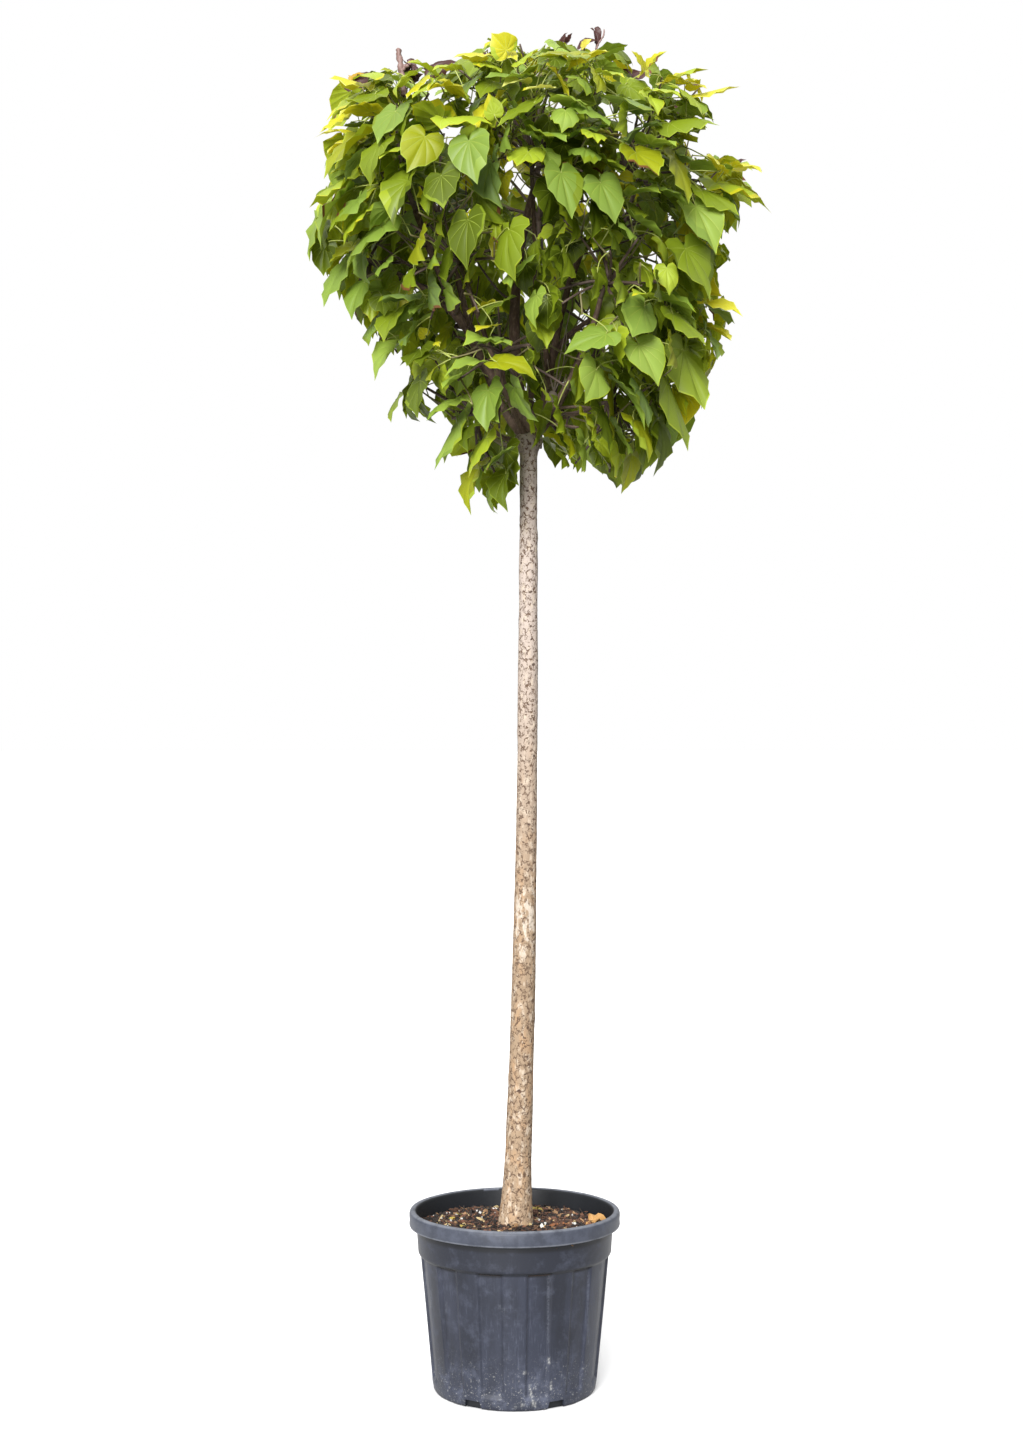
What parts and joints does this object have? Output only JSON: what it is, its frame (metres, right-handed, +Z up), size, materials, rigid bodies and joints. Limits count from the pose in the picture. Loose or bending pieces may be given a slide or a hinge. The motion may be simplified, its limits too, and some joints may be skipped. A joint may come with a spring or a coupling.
{
  "type": "potted tree",
  "caption": "Umbrella catalpa grafted on a tall bare stem, with a dense globe of hanging heart-shaped leaves, in a round fluted nursery pot.",
  "frame": {"origin": "the middle of the pot's flat underside, at ground level", "axes": "+Z up along the stem, -Y towards the viewer of the picture, +X to that viewer's right"},
  "size_m": [0.917, 0.834, 2.6856],
  "materials": {
    "black_plastic": "matte, scuffed",
    "potting_mix": "crumbly, matte",
    "pale_bark": "fissured bark, matte",
    "brown_bark": "rough bark, matte",
    "leaf_green": "soft leaf, satin"
  },
  "bodies": {
    "root": {"bough_back": "brown_bark", "bough_back_left": "brown_bark", "bough_back_left_side": "brown_bark", "bough_back_right": "brown_bark", "bough_back_right_side": "brown_bark", "bough_centre": "brown_bark", "bough_front": "brown_bark", "bough_front_left": "brown_bark", "bough_front_right": "brown_bark", "bough_left": "brown_bark", "bough_left_side": "brown_bark", "bough_right": "brown_bark", "bough_right_side": "brown_bark", "foliage_back_left": "leaf_green", "foliage_back_right": "leaf_green", "foliage_crest": "leaf_green", "foliage_front_left": "leaf_green", "foliage_front_right": "leaf_green", "foliage_left": "leaf_green", "foliage_low_back": "leaf_green", "foliage_low_front": "leaf_green", "foliage_low_left": "leaf_green", "foliage_low_right": "leaf_green", "foliage_right": "leaf_green", "foliage_top_back": "leaf_green", "foliage_top_back_left": "leaf_green", "foliage_top_back_right": "leaf_green", "foliage_top_front": "leaf_green", "foliage_top_left": "leaf_green", "foliage_top_right": "leaf_green", "pot": "black_plastic", "potting_mix": "potting_mix", "spur_back": "brown_bark", "spur_front": "brown_bark", "spur_left": "brown_bark", "spur_right": "brown_bark", "stem": "pale_bark"}
  },
  "joints": []
}
